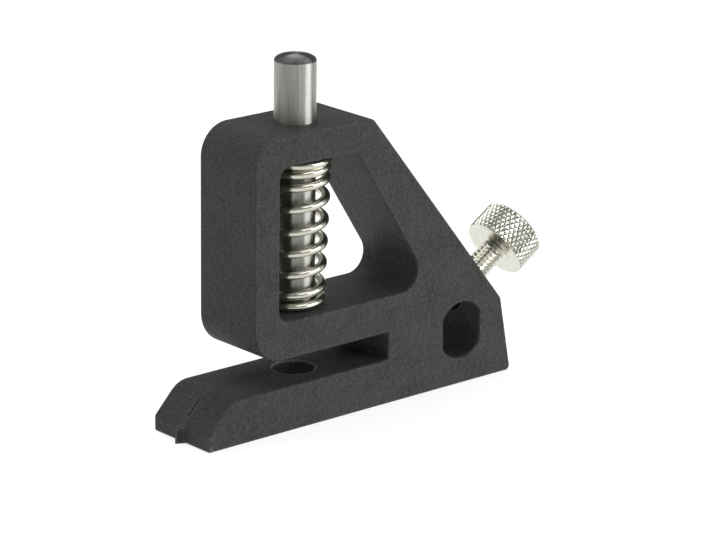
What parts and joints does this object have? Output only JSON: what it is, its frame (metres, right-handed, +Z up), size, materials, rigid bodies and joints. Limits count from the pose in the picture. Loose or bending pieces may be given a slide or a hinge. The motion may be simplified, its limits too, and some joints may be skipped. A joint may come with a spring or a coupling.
{
  "type": "punch head",
  "caption": "Spring-return paper punch head: steel punch pin in a black one-piece body with a paper slot, die hole, rail hole and a knurled clamping thumb screw.",
  "frame": {"origin": "on the punch axis, at the base plane of the body", "axes": "+X from the tip of the foot towards the thumb screw, +Y across the thickness, +Z up along the punch"},
  "size_m": [0.0672, 0.0122, 0.0528],
  "materials": {
    "black_body": "fine-grained matte black coating",
    "ground_steel": "ground and polished hardened steel",
    "ring_steel": "dark phosphated spring steel",
    "spring_steel": "bright plated spring wire",
    "nickel_plate": "bright nickel plate, diamond-knurled rim"
  },
  "bodies": {
    "frame": {"punch_body": "black_body", "return_spring": "spring_steel"},
    "punch": {"punch_pin": "ground_steel", "retaining_ring": "ring_steel"},
    "clamp_screw": {"thumb_screw": "nickel_plate"}
  },
  "joints": [
    {"name": "punch_slide", "type": "slide", "parent": "frame", "child": "punch", "axis": [0, 0, -1], "range_m": [0, 0.0085], "stiffness_N_per_m": 1200, "springref_m": -0.005, "deforming": ["return_spring"]},
    {"name": "thumb_screw_feed", "type": "slide", "parent": "frame", "child": "clamp_screw", "axis": [-0.8368, 0, -0.5476], "range_m": [-0.002, 0.005]}
  ]
}
